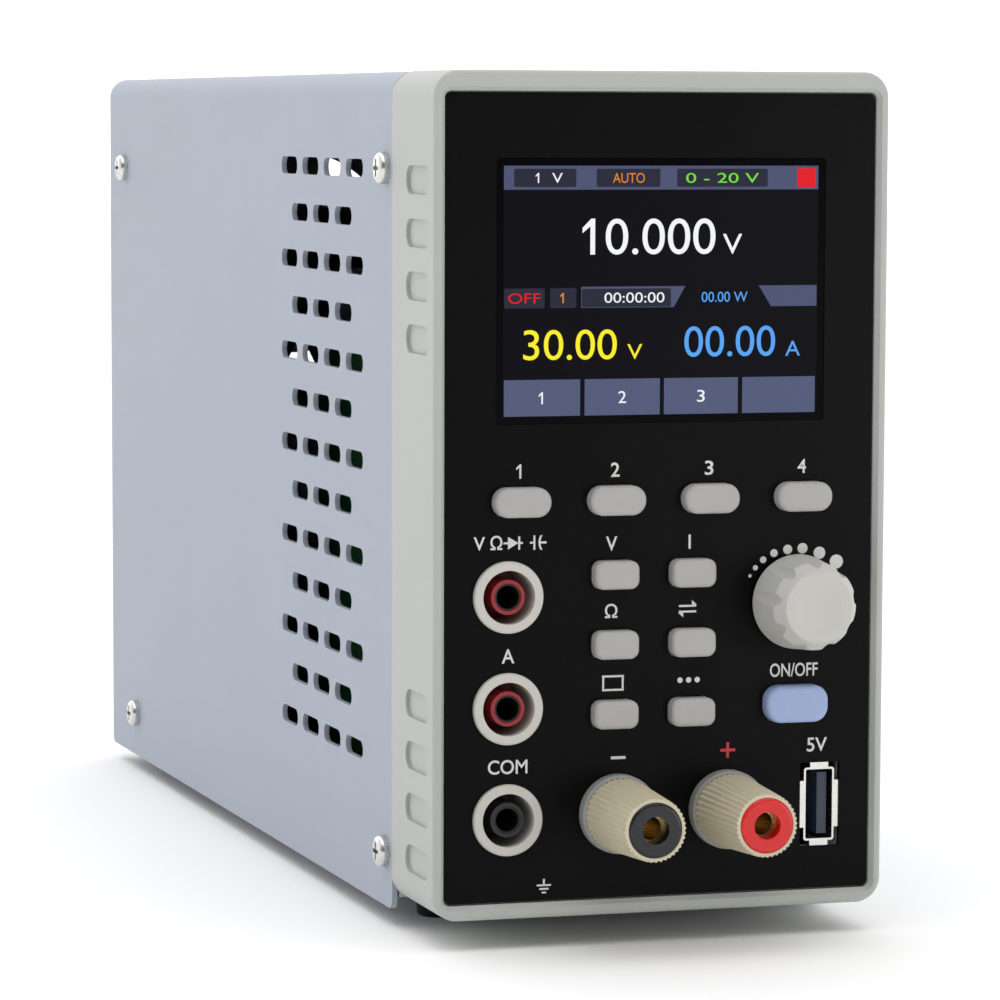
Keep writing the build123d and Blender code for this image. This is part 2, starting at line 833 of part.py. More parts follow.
def feet():
    """Rubber feet with a plug through the tray."""
    parts = []
    for x, depth in foot_places():
        height = tray_bottom - seat_gap
        foot = Pos(0, 0, height / 2) * Cone(foot_tip_radius, foot_radius, height)
        foot = fillet(foot.faces().sort_by(Axis.Z)[0].edges(), foot_edge)
        plug = Cylinder(foot_stem_radius, tray_sheet + 2 * seat_gap + 1,
                        align=(Align.CENTER, Align.CENTER, Align.MIN))
        parts.append(Pos(x, at(depth), 0) * (foot + Pos(0, 0, height) * plug))
    return group(parts)


def rear_panel():
    """Rear sheet with a punched grille, cut-outs and two side flanges for the cover screws."""
    half = tray_half
    high = tongue_top
    shape = block(-half, half, at(rear_inside), at(rear_face), tray_bottom, high)
    shape = fillet(shape.edges().filter_by(Axis.Y).group_by(Axis.Z)[-1], cover_bend)
    for ring in range(grille_rings):
        inner = grille_inner + ring * (grille_slot + grille_web)
        cut = rod(inner + grille_slot, 0, fan_z, rear_inside, rear_face) - rod(inner, 0, fan_z, rear_inside, rear_face)
        for angle in (45, 135):
            cut -= Pos(0, at(rear_face), fan_z) * Rot(0, angle, 0) * Box(fan_side * 1.5, 4, grille_spoke)
        shape -= cut
    for x, z in fan_screw_places():
        shape -= rod(screw_radius + screw_clearance, x, z, rear_inside, rear_face)
    for width, height, x, z in ((inlet_body_width, inlet_body_height, inlet_x, inlet_z),
                                (switch_cut_width, switch_cut_height, switch_x, switch_z),
                                (selector_body_width, selector_body_height, selector_x, selector_z)):
        shape -= plate(width + 2 * seat_gap, height + 2 * seat_gap, 0.3, x, z, rear_inside, rear_face)
    for side in (-1, 1):
        shape += block(side * (half - rear_sheet), side * half, at(rear_inside - rear_flange_depth),
                       at(rear_inside), rear_flange_low, rear_flange_high)
        hole = Pos(side * half, at(rear_top_screw), rear_top_screw_z) * Rot(0, 90, 0)
        shape -= hole * Cylinder(screw_radius + screw_clearance, 4 * rear_sheet)
    return shape


def fan_screw_places():
    return [(x, fan_z + z) for x in (-fan_hole, fan_hole) for z in (-fan_hole, fan_hole)]


def small_screws():
    """Screws of the control board, and those of the fan."""
    screws = []
    for x, z in board_boss_places():
        place = Pos(x, at(board_front + board_sheet + seat_gap / 2), z) * Rot(-90, 0, 0)
        screws.append(place * pan_screw(screw_radius, screw_length, head_radius, head_height))
    for x, z in fan_screw_places():
        place = Pos(x, at(rear_face + seat_gap / 2), z) * Rot(-90, 0, 0)
        screws.append(place * pan_screw(screw_radius, screw_length, head_radius, head_height))
    return group(screws)


def fan_frame():
    """Square fan frame with the plate that carries its shaft."""
    front = rear_inside - seat_gap - fan_depth
    back = rear_inside - seat_gap
    shape = plate(fan_side, fan_side, fan_corner, 0, fan_z, front, back)
    shape -= rod(fan_bore_radius, 0, fan_z, front, back)
    shape += rod(fan_hub_radius, 0, fan_z, front, front + fan_plate)
    for angle in (45, 135):
        spoke = Box(2 * fan_bore_radius + 2, fan_plate, fan_spoke)
        shape += Pos(0, at(front + fan_plate / 2), fan_z) * Rot(0, angle, 0) * spoke
    shape += rod(fan_shaft_radius, 0, fan_z, front, back - 2 * fan_rotor_gap)
    for x, z in fan_screw_places():
        shape -= rod(screw_radius + screw_clearance, x, z, back - screw_length, back)
    return shape


def fan_rotor():
    """Hub with its ring of tilted blades."""
    front = rear_inside - seat_gap - fan_depth + fan_plate + fan_rotor_gap
    back = rear_inside - seat_gap - fan_rotor_gap
    middle = (front + back) / 2
    shape = rod(fan_hub_radius, 0, fan_z, front, back)
    blades = None
    for i in range(fan_blade_count):
        blade = Pos(0, 0, (fan_blade_radius + fan_hub_radius) / 2) * Rot(0, 0, fan_blade_tilt)
        blade *= Box(fan_blade_chord, fan_blade_sheet, fan_blade_radius)
        blade = Pos(0, at(middle), fan_z) * Rot(0, 360 * i / fan_blade_count, 0) * blade
        shape += blade & rod(fan_blade_radius, 0, fan_z, middle - fan_blade_depth / 2,
                             middle + fan_blade_depth / 2)
    shape = fillet(shape.faces().filter_by(Axis.Y).sort_by(Axis.Y)[-1].edges(), 0.6)
    return shape - rod(fan_shaft_radius + fan_shaft_fit, 0, fan_z, front, back - fan_rotor_gap + 0.4)


def mains_inlet():
    """Inlet with a deep well for the mains socket and a bay for the fuse drawer."""
    front = rear_face - rear_sheet - inlet_body_depth
    shape = plate(inlet_body_width, inlet_body_height, 1.5, inlet_x, inlet_z, front, rear_face)
    shape += plate(inlet_flange_width, inlet_flange_height, 3.0, inlet_x, inlet_z, rear_face,
                   rear_face + inlet_flange)
    well_z = inlet_z + inlet_well_rise
    mouth = Rectangle(inlet_well_width, inlet_well_height)
    mouth = chamfer(mouth.vertices().group_by(Axis.Y)[-1], inlet_well_chamfer)
    shape -= slab(Pos(inlet_x, well_z) * mouth, inlet_floor, rear_face + inlet_flange)
    for x, z in pin_places():
        shape -= plate(pin_width + 0.1, pin_height + 0.1, 0.3, x, z, front, inlet_floor)
    bay_front = rear_face + inlet_flange - drawer_depth - drawer_gap
    shape -= plate(drawer_width + 2 * running_gap, drawer_height + 2 * running_gap, 0.6, inlet_x, drawer_z,
                   bay_front, rear_face + inlet_flange)
    return shape


def pin_places():
    well_z = inlet_z + inlet_well_rise
    return [(inlet_x - pin_spacing, well_z - pin_rise / 2), (inlet_x, well_z + pin_rise),
            (inlet_x + pin_spacing, well_z - pin_rise / 2)]


def inlet_pins():
    front = rear_face - rear_sheet - inlet_body_depth
    return group([plate(pin_width, pin_height, 0.3, x, z, front - pin_tail, inlet_floor + pin_length)
                  for x, z in pin_places()])


def fuse_drawer():
    """Drawer for the fuse, with a grip lip outside."""
    back = rear_face + inlet_flange
    shape = plate(drawer_width, drawer_height, 0.5, inlet_x, drawer_z, back - drawer_depth, back)
    shape += plate(drawer_width * 0.6, 1.6, 0.4, inlet_x, drawer_z - drawer_height * 0.3, back, back + drawer_grip)
    pocket = block(inlet_x - drawer_width / 2 + 2, inlet_x + drawer_width / 2 - 2,
                   at(back - drawer_depth + 1.5), at(back - 3), drawer_z - drawer_height / 2 + 1.5, drawer_z + 10)
    return shape - pocket


def rocker_housing():
    """Frame of the mains switch with a round bed for its rocker."""
    front = rear_face - rear_sheet - switch_housing_depth
    shape = plate(switch_cut_width, switch_cut_height, 0.5, switch_x, switch_z, front, rear_face)
    flange = plate(switch_flange_width, switch_flange_height, 1.0, switch_x, switch_z, rear_face,
                   rear_face + switch_flange)
    shape += fillet(flange.faces().sort_by(Axis.Y)[-1].edges(), 0.4)
    bed = Pos(switch_x, at(rocker_axis), switch_z) * Rot(0, 90, 0)
    wide = rocker_width + 2 * rocker_gap
    shape -= bed * Cylinder(rocker_radius + rocker_gap, wide)
    shape -= bed * Cylinder(rocker_pivot_radius + shaft_fit, wide + 2 * rocker_pivot_length)
    return shape


def mains_rocker():
    """Rocker at rest with its upper half pressed in."""
    profile = Circle(rocker_radius) & Pos(0, rocker_crown / 2 - 1.5) * Rectangle(3 * rocker_radius, rocker_crown + 3)
    rise = rocker_radius * math.tan(math.radians(rocker_vee))
    notch = Polygon((-2 * rocker_radius, rocker_crown + 2 * rise - rise), (0, rocker_crown - rise),
                    (2 * rocker_radius, rocker_crown + rise), (0, 3 * rocker_radius), align=None)
    profile = profile - notch
    solid = extrude(profile, rocker_width / 2, both=True)
    solid += Cylinder(rocker_pivot_radius, rocker_width + 2 * rocker_gap + 2 * rocker_pivot_length - 0.2)
    place = Pos(switch_x, at(rocker_axis), switch_z) * Rot(rocker_rest_angle, 0, 0)
    return place * Plane(origin=(0, 0, 0), x_dir=(0, 0, -1), z_dir=(1, 0, 0)).location * solid


def selector_body():
    """Frame of the mains voltage selector with its slot."""
    front = rear_face - rear_sheet - selector_body_depth
    back = rear_face + selector_flange
    shape = plate(selector_body_width, selector_body_height, 0.4, selector_x, selector_z, front, rear_face)
    shape += plate(selector_width, selector_height, 1.0, selector_x, selector_z, rear_face, back)
    return shape - plate(selector_slot_width, selector_slot_height, 0.3, selector_x, selector_z,
                         back - selector_slot_depth, back)


def selector_slider():
    """Slider with a groove for a screwdriver tip."""
    back = rear_face + selector_flange - slider_recess
    left = selector_x - selector_slot_width / 2 + slider_gap
    half = selector_slot_height / 2 - running_gap
    front = rear_face + selector_flange - selector_slot_depth + running_gap
    shape = block(left, left + slider_width, at(front), at(back), selector_z - half, selector_z + half)
    middle = left + slider_width / 2
    return shape - block(middle - 0.6, middle + 0.6, at(back - 1), at(back), selector_z - half, selector_z + half)


def power_board():
    """Main board on its standoffs."""
    shape = block(power_board_left, power_board_right, at(power_board_front), at(power_board_rear),
                  power_board_z, power_board_z + board_sheet)
    for x, depth in power_standoff_places():
        shape -= Pos(x, at(depth), power_board_z) * Cylinder(standoff_pin + seat_gap, 4 * board_sheet)
    return shape


def meter_board():
    """Upright board of the meter, seen through the left vents."""
    shape = block(meter_board_x - board_sheet, meter_board_x, at(meter_board_front), at(meter_board_rear),
                  meter_board_low, meter_board_high)
    for depth, z in meter_standoff_places():
        hole = Pos(meter_board_x, at(depth), z) * Rot(0, 90, 0)
        shape -= hole * Cylinder(standoff_pin + seat_gap, 4 * board_sheet)
    return shape


def standoff(gap, sheet, carrier):
    """Snap standoff from Z 0 to the board, with a pin through the board and one through the sheet."""
    low = (Align.CENTER, Align.CENTER, Align.MIN)
    high = (Align.CENTER, Align.CENTER, Align.MAX)
    body = Cylinder(standoff_radius, gap, align=low)
    pin = Cylinder(standoff_pin, carrier + 0.4, align=high)
    top = Pos(0, 0, gap) * Cylinder(standoff_pin, sheet + 0.1, align=low)
    head = Pos(0, 0, gap + sheet + 0.1) * Cone(standoff_pin + 0.6, standoff_pin * 0.6, 1.4, align=low)
    return body + pin + top + head


def board_standoffs():
    parts = []
    for x, depth in power_standoff_places():
        parts.append(Pos(x, at(depth), tray_top) * standoff(standoff_height, board_sheet, tray_sheet))
    for depth, z in meter_standoff_places():
        place = Pos(divider_x - divider_sheet / 2, at(depth), z) * Rot(0, -90, 0)
        parts.append(place * standoff(standoff_height, board_sheet, divider_sheet))
    return group(parts)


def heat_sinks():
    """Two finned sinks that stand on the main board."""
    parts = []
    low = power_board_z + board_sheet
    for start in (sink_front, sink_front + sink_length + sink_gap):
        sink = block(sink_x, sink_x + sink_sheet, at(start), at(start + sink_length), low, low + sink_height)
        for i in range(sink_fins):
            depth = start + (sink_length - sink_fin) * i / (sink_fins - 1)
            sink += block(sink_x - sink_fin_reach, sink_x, at(depth), at(depth + sink_fin), low, low + sink_height)
        parts.append(sink)
    return group(parts)


def transformer_core():
    """Ferrite core with two windows."""
    low = power_board_z + board_sheet
    shape = block(core_x - core_width / 2, core_x + core_width / 2, at(core_y - core_thick / 2),
                  at(core_y + core_thick / 2), low, low + core_height)
    for side in (-1, 1):
        x0 = core_x + side * core_leg / 2
        shape -= block(x0, x0 + side * core_window, at(core_y - core_thick), at(core_y + core_thick),
                       low + core_yoke, low + core_height - core_yoke)
    return shape


def transformer_coil():
    """Coil around the middle leg of the core."""
    low = power_board_z + board_sheet + core_yoke + coil_gap
    high = power_board_z + board_sheet + core_height - core_yoke - coil_gap
    half = core_leg / 2 + core_window - coil_gap
    shape = block(core_x - half, core_x + half, at(core_y - core_depth / 2), at(core_y + core_depth / 2), low, high)
    shape = fillet(shape.edges().filter_by(Axis.Z), 3.0)
    inner = core_leg / 2 + coil_gap
    thick = core_thick / 2 + coil_gap
    return shape - block(core_x - inner, core_x + inner, at(core_y - thick), at(core_y + thick), low, high)


def capacitors():
    """Smoothing capacitors on the main board."""
    parts = []
    for i in range(2):
        can = Cylinder(cap_radius, cap_height, align=(Align.CENTER, Align.CENTER, Align.MIN))
        can = fillet(can.faces().sort_by(Axis.Z)[-1].edges(), cap_edge)
        parts.append(Pos(cap_x, at(cap_front + cap_pitch * i), power_board_z + board_sheet) * can)
    return group(parts)


def build():
    """Every node of the object by name."""
    nodes = {"front_bezel": front_bezel(), "front_overlay": front_overlay(), "display_glass": display_glass(),
             "display_module": display_module(), "control_board": control_board(),
             "key_switches": key_switches(), "small_screws": small_screws()}
    for name, x, z, size in key_places():
        nodes[name] = moulded_key(x, z, size)
    nodes["encoder_body"] = encoder_body()
    nodes["encoder_plunger"] = encoder_plunger()
    nodes["encoder_shaft"] = encoder_shaft()
    nodes["tuning_knob"] = tuning_knob()
    nodes["meter_jack_shells"] = group([jack_shell(z) for z in jack_positions])
    nodes["common_jack_sleeve"] = jack_sleeve(jack_positions[0])
    nodes["red_jack_sleeves"] = group([jack_sleeve(z) for z in jack_positions[1:]])
    nodes["meter_jack_contacts"] = group([jack_contact(z) for z in jack_positions])
    for name, x in zip(("minus", "plus"), post_positions):
        nodes[name + "_post_base"] = post_base(x)
        nodes[name + "_post_stem"] = post_stem(x)
        nodes[name + "_clamp_washer"] = post_washer(x)
        nodes[name + "_post_nut"] = post_nut(x)
        nodes[name + "_nut_ring"] = post_insert(x)
    nodes["post_tail_nuts"] = post_tail_nuts()
    nodes["usb_shell"] = usb_shell()
    nodes["usb_tongue"] = usb_tongue_part()
    nodes["chassis_tray"] = chassis_tray()
    nodes["top_cover"] = top_cover()
    nodes["cover_screws"] = cover_screws()
    nodes["rear_panel"] = rear_panel()
    nodes["rubber_feet"] = feet()
    nodes["fan_frame"] = fan_frame()
    nodes["fan_rotor"] = fan_rotor()
    nodes["mains_inlet"] = mains_inlet()
    nodes["inlet_pins"] = inlet_pins()
    nodes["fuse_drawer"] = fuse_drawer()
    nodes["rocker_housing"] = rocker_housing()
    nodes["mains_rocker"] = mains_rocker()
    nodes["selector_body"] = selector_body()
    nodes["selector_slider"] = selector_slider()
    nodes["power_board"] = power_board()
    nodes["meter_board"] = meter_board()
    nodes["board_standoffs"] = board_standoffs()
    nodes["heat_sinks"] = heat_sinks()
    nodes["transformer_core"] = transformer_core()
    nodes["transformer_coil"] = transformer_coil()
    nodes["capacitors"] = capacitors()
    return nodes


os.makedirs("parts", exist_ok=True)
for node, shape in build().items():
    save(shape, node)
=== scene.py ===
import math

import bmesh
import bpy
from mathutils import Matrix, Vector


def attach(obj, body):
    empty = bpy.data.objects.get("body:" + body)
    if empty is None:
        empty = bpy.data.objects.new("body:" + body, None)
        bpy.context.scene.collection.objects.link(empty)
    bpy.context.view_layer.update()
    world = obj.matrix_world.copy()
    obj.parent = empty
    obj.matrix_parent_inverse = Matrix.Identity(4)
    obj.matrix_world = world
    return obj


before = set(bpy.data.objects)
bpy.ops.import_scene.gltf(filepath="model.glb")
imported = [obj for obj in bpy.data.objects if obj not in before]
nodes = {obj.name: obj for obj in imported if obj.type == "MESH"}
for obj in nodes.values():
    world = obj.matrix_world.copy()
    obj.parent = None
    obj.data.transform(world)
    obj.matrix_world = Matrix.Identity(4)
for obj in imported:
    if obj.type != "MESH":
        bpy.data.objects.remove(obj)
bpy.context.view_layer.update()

# Places in metres, in the frame of the part's source
FACE_Y = -0.1207
INK = 0.00002
SCREEN_Z = 0.11465
SCREEN_WIDTH = 0.0576
SCREEN_HEIGHT = 0.0432

# Depth of the pane in millimetres, and the picture's layers in front of it in metres
PANE_DEPTH = 0.15
PICTURE_LAYER = 0.00002
PICTURE_SHEET = 0.000008
PICTURE_WORDS = 0.00009

# Printed marks in millimetres: width of lines, height of letters and rows of the front
LINE = 0.35
THIN_LINE = 0.3
WIDE_LINE = 0.5
LETTER = 2.5
PRINT_BOLD = 0.00012
MENU_MARKS_Z = 83.6
FIRST_MENU_X = -25.7
MENU_PITCH = 17.3
JACK_X = -27.8
LEFT_KEYS_X = -9.0
UPPER_MARKS_Z = 70.7
DOTS_LIFT = 3.2


def at(depth):
    """Y of a place that lies this many millimetres behind the face of the overlay."""
    return FACE_Y + depth / 1000


def linear(red, green, blue):
    """Colour given as it shows on a screen, from 0 to 255, for a shader."""
    values = []
    for part in (red, green, blue):
        part = part / 255
        values.append(part / 12.92 if part <= 0.04045 else ((part + 0.055) / 1.055) ** 2.4)
    return (*values, 1.0)


# Materials


def new_material(name):
    material = bpy.data.materials.new(name)
    material.use_nodes = True
    return material, material.node_tree, material.node_tree.nodes["Principled BSDF"]


def noise(tree, scale, detail=3.0, rough=0.5, stretch=(1, 1, 1)):
    """Noise in the object's own space, with scale as features per metre."""
    coordinates = tree.nodes.new("ShaderNodeTexCoord")
    mapping = tree.nodes.new("ShaderNodeMapping")
    mapping.inputs["Scale"].default_value = stretch
    texture = tree.nodes.new("ShaderNodeTexNoise")
    texture.inputs["Scale"].default_value = scale
    texture.inputs["Detail"].default_value = detail
    texture.inputs["Roughness"].default_value = rough
    tree.links.new(coordinates.outputs["Object"], mapping.inputs["Vector"])
    tree.links.new(mapping.outputs["Vector"], texture.inputs["Vector"])
    return texture.outputs["Fac"]


def spread(tree, value, low, high, start=0.3, end=0.7):
    node = tree.nodes.new("ShaderNodeMapRange")
    node.inputs["From Min"].default_value = start
    node.inputs["From Max"].default_value = end
    node.inputs["To Min"].default_value = low
    node.inputs["To Max"].default_value = high
    tree.links.new(value, node.inputs["Value"])
    return node.outputs["Result"]


def blend_colours(tree, factor, first, second):
    node = tree.nodes.new("ShaderNodeMix")
    node.data_type = "RGBA"
    tree.links.new(factor, node.inputs["Factor"])
    for socket, colour in (("A", first), ("B", second)):
        target = [entry for entry in node.inputs if entry.name == socket and entry.type == "RGBA"][0]
        if isinstance(colour, bpy.types.NodeSocket):
            tree.links.new(colour, target)
        else:
            target.default_value = colour
    return [entry for entry in node.outputs if entry.type == "RGBA"][0]


def shade(colour, factor):
    return (*[min(1.0, part * factor) for part in colour[:3]], 1.0)


def moulded(name, colour, rough=0.5, grain=2500, depth=0.00002, strength=0.3, variation=0.08,
            patches=40, specular=0.5, metallic=0.0, stretch=(1, 1, 1)):
    """Surface with a fine grain, uneven gloss and slow changes of colour."""
    material, tree, shader = new_material(name)
    fine = noise(tree, grain, 2.0, 0.6, stretch)
    slow = noise(tree, patches, 4.0, 0.6)
    tint = blend_colours(tree, slow, shade(colour, 1 - variation), shade(colour, 1 + variation))
    speck = spread(tree, fine, 0.0, 0.5, 0.45, 0.75)
    mottled = blend_colours(tree, speck, tint, shade(colour, 1 - 1.5 * variation))
    tree.links.new(mottled, shader.inputs["Base Color"])
    tree.links.new(spread(tree, fine, rough - 0.06, rough + 0.08), shader.inputs["Roughness"])
    bump = tree.nodes.new("ShaderNodeBump")
    bump.inputs["Distance"].default_value = depth
    bump.inputs["Strength"].default_value = strength
    tree.links.new(fine, bump.inputs["Height"])
    tree.links.new(bump.outputs["Normal"], shader.inputs["Normal"])
    shader.inputs["Specular IOR Level"].default_value = specular
    shader.inputs["Metallic"].default_value = metallic
    return material


def lit(name, colour):
    """Picture element of the display, with the faint grid of its dots."""
    material, tree, shader = new_material(name)
    grid = noise(tree, 9000, 1.0, 0.5)
    shader.inputs["Base Color"].default_value = (0.004, 0.004, 0.005, 1)
    shader.inputs["Roughness"].default_value = 0.3
    shader.inputs["Specular IOR Level"].default_value = 0.04
    shader.inputs["Emission Color"].default_value = colour
    tree.links.new(spread(tree, grid, 0.92, 1.06), shader.inputs["Emission Strength"])
    return material


case_paint = moulded("case_paint", linear(165, 171, 183), 0.6, 3500, 0.00003, 0.35, 0.04, 25, 0.3)
bezel_plastic = moulded("bezel_plastic", linear(180, 183, 178), 0.55, 4200, 0.00002, 0.3, 0.03, 30, 0.3)
overlay_film = moulded("overlay_film", linear(9, 9, 10), 0.3, 5200, 0.000003, 0.15, 0.3, 60, 0.07)
pane_film = moulded("pane_film", linear(4, 4, 7), 0.15, 3000, 0.000002, 0.1, 0.1, 60, 0.05)
key_plastic = moulded("key_plastic", linear(174, 172, 169), 0.55, 4500, 0.00001, 0.25, 0.03, 80)
output_plastic = moulded("output_plastic", linear(160, 180, 220), 0.55, 4500, 0.00001, 0.25, 0.03, 80)
knob_plastic = moulded("knob_plastic", linear(196, 195, 190), 0.5, 4500, 0.00001, 0.25, 0.03, 80)
ring_plastic = moulded("ring_plastic", linear(200, 198, 190), 0.4, 4000, 0.000006, 0.2, 0.03, 90)
dark_red_plastic = moulded("dark_red_plastic", linear(150, 16, 30), 0.35, 4000, 0.000008, 0.2, 0.08, 90)
black_plastic = moulded("black_plastic", linear(26, 26, 28), 0.42, 4000, 0.00001, 0.25, 0.15, 90)
navy_plastic = moulded("navy_plastic", linear(12, 14, 24), 0.22, 4000, 0.000006, 0.2, 0.1, 90)
red_plastic = moulded("red_plastic", linear(216, 20, 22), 0.25, 4000, 0.000006, 0.2, 0.06, 90)
cream_plastic = moulded("cream_plastic", linear(208, 198, 172), 0.45, 3500, 0.00001, 0.25, 0.05, 120)
collar_plastic = moulded("collar_plastic", linear(150, 150, 146), 0.5, 3500, 0.00001, 0.25, 0.05, 120)
tongue_plastic = moulded("tongue_plastic", linear(46, 56, 74), 0.4, 3500, 0.00001, 0.25, 0.05, 120)
foot_rubber = moulded("foot_rubber", linear(24, 24, 25), 0.75, 3500, 0.00003, 0.4, 0.15, 120, 0.3)
nylon_white = moulded("nylon_white", linear(225, 224, 214), 0.5, 3500, 0.00001, 0.25, 0.03, 120)
board_mask = moulded("board_mask", linear(24, 82, 44), 0.35, 1800, 0.00002, 0.3, 0.25, 220)
ferrite_grey = moulded("ferrite_grey", linear(52, 52, 55), 0.6, 3000, 0.00003, 0.4, 0.15, 150)
coil_tape = moulded("coil_tape", linear(206, 176, 60), 0.35, 900, 0.00004, 0.4, 0.08, 150,
                    stretch=(0.1, 0.1, 4))
can_sleeve = moulded("can_sleeve", linear(32, 44, 84), 0.3, 2500, 0.00001, 0.2, 0.08, 150)
nickel = moulded("nickel", (0.66, 0.65, 0.62, 1), 0.24, 2600, 0.00001, 0.25, 0.08, 300, 0.5, 1.0)
zinc_sheet = moulded("zinc_sheet", (0.50, 0.52, 0.55, 1), 0.38, 900, 0.00002, 0.3, 0.12, 90, 0.5, 1.0)
dark_plating = moulded("dark_plating", linear(30, 27, 25), 0.4, 2600, 0.00001, 0.25, 0.1, 300, 0.3)
brass = moulded("brass", (0.72, 0.52, 0.22, 1), 0.28, 2600, 0.00001, 0.25, 0.08, 300, 0.5, 1.0)
aluminium = moulded("aluminium", (0.62, 0.63, 0.65, 1), 0.35, 2200, 0.00002, 0.3, 0.06, 90, 0.5, 1.0,
                    stretch=(8, 8, 0.4))
print_white = moulded("print_white", linear(214, 214, 210), 0.5, 6000, 0.000004, 0.2, 0.05, 300)
print_red = moulded("print_red", linear(196, 40, 48), 0.5, 6000, 0.000004, 0.2, 0.05, 300)

looks = {
    "front_bezel": bezel_plastic, "front_overlay": overlay_film, "display_glass": pane_film,
    "display_module": black_plastic, "control_board": board_mask, "key_switches": black_plastic,
    "small_screws": nickel, "encoder_body": zinc_sheet, "encoder_plunger": zinc_sheet,
    "encoder_shaft": zinc_sheet, "tuning_knob": knob_plastic, "meter_jack_shells": ring_plastic,
    "common_jack_sleeve": black_plastic, "red_jack_sleeves": dark_red_plastic,
    "meter_jack_contacts": dark_plating,
    "minus_post_base": collar_plastic, "plus_post_base": collar_plastic,
    "minus_post_stem": brass, "plus_post_stem": brass, "minus_clamp_washer": nickel,
    "plus_clamp_washer": nickel, "minus_post_nut": cream_plastic, "plus_post_nut": cream_plastic,
    "minus_nut_ring": navy_plastic, "plus_nut_ring": red_plastic, "post_tail_nuts": nickel,
    "usb_shell": nickel, "usb_tongue": tongue_plastic, "chassis_tray": zinc_sheet,
    "top_cover": case_paint, "cover_screws": nickel, "rear_panel": case_paint,
    "rubber_feet": foot_rubber,
    "fan_frame": black_plastic, "fan_rotor": black_plastic, "mains_inlet": black_plastic,
    "inlet_pins": nickel, "fuse_drawer": black_plastic, "rocker_housing": black_plastic,
    "mains_rocker": black_plastic, "selector_body": black_plastic, "selector_slider": red_plastic,
    "power_board": board_mask, "meter_board": board_mask, "board_standoffs": nylon_white,
    "heat_sinks": aluminium, "transformer_core": ferrite_grey, "transformer_coil": coil_tape,
    "capacitors": can_sleeve,
}
for name, node in nodes.items():
    material = looks.get(name, output_plastic if name == "output_key" else key_plastic)
    node.data.materials.clear()
    node.data.materials.append(material)


# Printed and lit shapes on the front


def flat_piece(name, outlines, material, depth, thickness=0.00002, body="case"):
    """Thin piece in front of the overlay, made of closed outlines in X and Z."""
    mesh = bpy.data.meshes.new(name)
    shape = bmesh.new()
    for outline in outlines:
        face = shape.faces.new([shape.verts.new((x, depth, z)) for x, z in outline])
        if face.normal.y > 0:
            face.normal_flip()
    bmesh.ops.recalc_face_normals(shape, faces=shape.faces)
    shape.to_mesh(mesh)
    shape.free()
    piece = bpy.data.objects.new(name, mesh)
    bpy.context.collection.objects.link(piece)
    solid = piece.modifiers.new("thickness", "SOLIDIFY")
    solid.thickness = thickness
    solid.offset = 0
    piece.data.materials.append(material)
    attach(piece, body)
    return piece


def rounded(x0, x1, z0, z1, corner, steps=5):
    """Outline of a rectangle with rounded corners."""
    points = []
    places = ((x1 - corner, z1 - corner, 0), (x0 + corner, z1 - corner, 90),
              (x0 + corner, z0 + corner, 180), (x1 - corner, z0 + corner, 270))
    for x, z, start in places:
        for i in range(steps + 1):
            angle = math.radians(start + 90 * i / steps)
            points.append((x + corner * math.cos(angle), z + corner * math.sin(angle)))
    return points


def circle(x, z, radius, steps=24):
    points = []
    for i in range(steps):
        angle = 2 * math.pi * i / steps
        points.append((x + radius * math.cos(angle), z + radius * math.sin(angle)))
    return points


def stroke(x0, z0, x1, z1, width):
    """Outline of a straight line with a width."""
    along = Vector((x1 - x0, z1 - z0)).normalized()
    side = Vector((-along.y, along.x)) * width / 2
    return [(x0 + side.x, z0 + side.y), (x1 + side.x, z1 + side.y), (x1 - side.x, z1 - side.y),
            (x0 - side.x, z0 - side.y)]


def words(name, text, x, z, width, height, material, depth, bold=0.0, body="case"):
    """Text centred at a place, made to fit a width and a height."""
    curve = bpy.data.curves.new(name, "FONT")
    curve.body = text
    curve.size = 0.01
    curve.offset = bold
    holder = bpy.data.objects.new(name, curve)
    bpy.context.collection.objects.link(holder)
    bpy.context.view_layer.update()
    mesh = bpy.data.meshes.new_from_object(holder.evaluated_get(bpy.context.evaluated_depsgraph_get()))
    bpy.data.objects.remove(holder)
    low = Vector((min(v.co.x for v in mesh.vertices), min(v.co.y for v in mesh.vertices)))
    high = Vector((max(v.co.x for v in mesh.vertices), max(v.co.y for v in mesh.vertices)))
    across = width / (high.x - low.x)
    up = height / (high.y - low.y)
    for vertex in mesh.vertices:
        right = (vertex.co.x - (low.x + high.x) / 2) * across
        rise = (vertex.co.y - (low.y + high.y) / 2) * up
        vertex.co = Vector((x + right, depth, z + rise))
    piece = bpy.data.objects.new(name, mesh)
    bpy.context.collection.objects.link(piece)
    mesh.materials.clear()
    mesh.materials.append(material)
    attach(piece, body)
    return piece


ink_y = at(0) - INK


def label(name, text, x, z, width, height=LETTER):
    """Printed text, with its place and size in millimetres."""
    across, up = width / 1000, height / 1000
    return words(name, text, x / 1000, z / 1000, across, up, print_white, ink_y, PRINT_BOLD)


def print_shape(name, outlines, material=print_white):
    scaled = [[(x / 1000, z / 1000) for x, z in outline] for outline in outlines]
    return flat_piece(name, scaled, material, ink_y)


def one(x, z, height):
    """Outline of the figure 1, centred at a place."""
    stem = height * 0.07
    top = z + height / 2
    low = z - height / 2
    flag = height * 0.3
    return [(x - stem, low), (x + stem, low), (x + stem, top), (x - stem * 0.6, top),
            (x - flag, top - flag * 0.85), (x - flag, top - flag * 1.35), (x - stem, top - flag * 0.72)]


